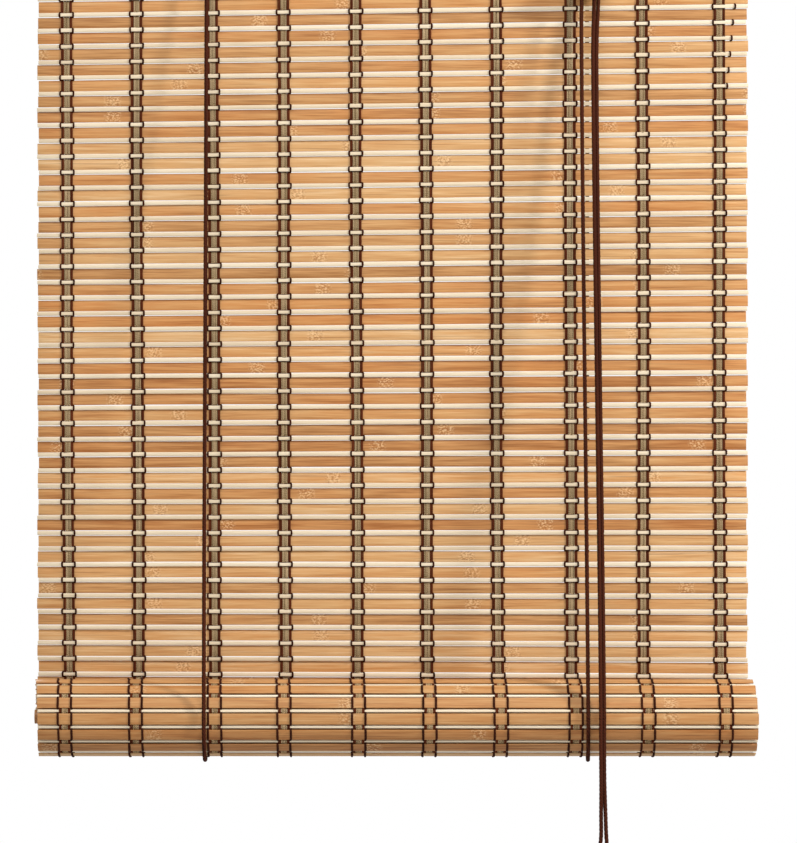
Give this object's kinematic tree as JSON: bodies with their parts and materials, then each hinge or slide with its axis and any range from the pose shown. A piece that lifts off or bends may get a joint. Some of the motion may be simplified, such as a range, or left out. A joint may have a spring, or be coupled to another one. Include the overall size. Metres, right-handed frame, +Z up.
{
  "type": "bamboo roll up blind",
  "caption": "Bamboo roll-up blind: a mat of wide slats and thin sticks bound by thread bands, half rolled up on lift cords under a wooden head with pulleys and a cord lock.",
  "frame": {"origin": "midway between the two hanging holes, on the wall", "axes": "+X to the right seen from the room, +Y into the wall, +Z up"},
  "size_m": [0.602, 0.1085, 0.937],
  "materials": {
    "bamboo": "oiled split bamboo",
    "thread": "matt twisted thread",
    "cord": "braided cord",
    "head_wood": "planed softwood",
    "turned_wood": "turned and oiled",
    "steel": "zinc plated",
    "brass": "turned"
  },
  "bodies": {
    "head": {"head_batten": "head_wood", "cover_lath": "head_wood", "lath_nails": "steel", "hanger_left": "steel", "hanger_right": "steel", "hanger_screws": "steel", "flat_mat": "bamboo", "thread_bands": "thread", "screw_eye_left": "steel", "screw_eye_right": "steel", "pulley_strap_left": "steel", "pulley_axle_left": "steel", "lock_strap": "steel", "pulley_axle_right": "steel", "lock_cam_pin": "steel", "strap_screws": "steel", "lift_rear_left": "cord", "lift_rear_right": "cord", "lift_front_left": "cord", "lift_front_right": "cord", "cross_cord": "cord", "turn_cord": "cord", "pull_cord_left": "cord", "pull_cord_right": "cord", "pull_hank": "cord", "hank_tie": "thread", "pull_knob": "turned_wood"},
    "slings": {"lift_sling_left": "cord", "lift_sling_right": "cord"},
    "roll": {"rolled_mat": "bamboo", "roll_bands": "thread", "bottom_rod": "turned_wood"},
    "left_sheave": {"sheave_left": "brass"},
    "right_front_sheave": {"sheave_right_front": "brass"},
    "right_rear_sheave": {"sheave_right_rear": "brass"},
    "cam": {"lock_cam": "steel"}
  },
  "joints": [
    {"name": "roll_lift", "type": "slide", "parent": "head", "child": "slings", "axis": [0, 0, 1], "range_m": [0, 0.5026], "deforming": ["flat_mat", "thread_bands", "lift_rear_left", "lift_rear_right", "lift_front_left", "lift_front_right", "pull_cord_left", "pull_cord_right"]},
    {"name": "roll_turn", "type": "hinge", "parent": "slings", "child": "roll", "pos_m": [0, -0.056, -0.664], "axis": [-1, 0, 0], "range_deg": [0, 720]},
    {"name": "left_sheave_turn", "type": "hinge", "parent": "head", "child": "left_sheave", "pos_m": [-0.1504, -0.03495, -0.027], "axis": [0, 1, 0], "continuous": true},
    {"name": "right_front_sheave_turn", "type": "hinge", "parent": "head", "child": "right_front_sheave", "pos_m": [0.1666, -0.04065, -0.027], "axis": [0, 1, 0], "continuous": true},
    {"name": "right_rear_sheave_turn", "type": "hinge", "parent": "head", "child": "right_rear_sheave", "pos_m": [0.1666, -0.03495, -0.027], "axis": [0, 1, 0], "continuous": true},
    {"name": "cam_release", "type": "hinge", "parent": "head", "child": "cam", "pos_m": [0.1716, -0.05035, -0.045], "axis": [-1, 0, 0], "range_deg": [0, 40]}
  ],
  "couplings": [
    {"joint": "roll_turn", "follows": "roll_lift", "rad_per_m": 25},
    {"joint": "left_sheave_turn", "follows": "roll_lift", "rad_per_m": 312.5},
    {"joint": "right_front_sheave_turn", "follows": "roll_lift", "rad_per_m": 312.5},
    {"joint": "right_rear_sheave_turn", "follows": "roll_lift", "rad_per_m": 312.5}
  ]
}
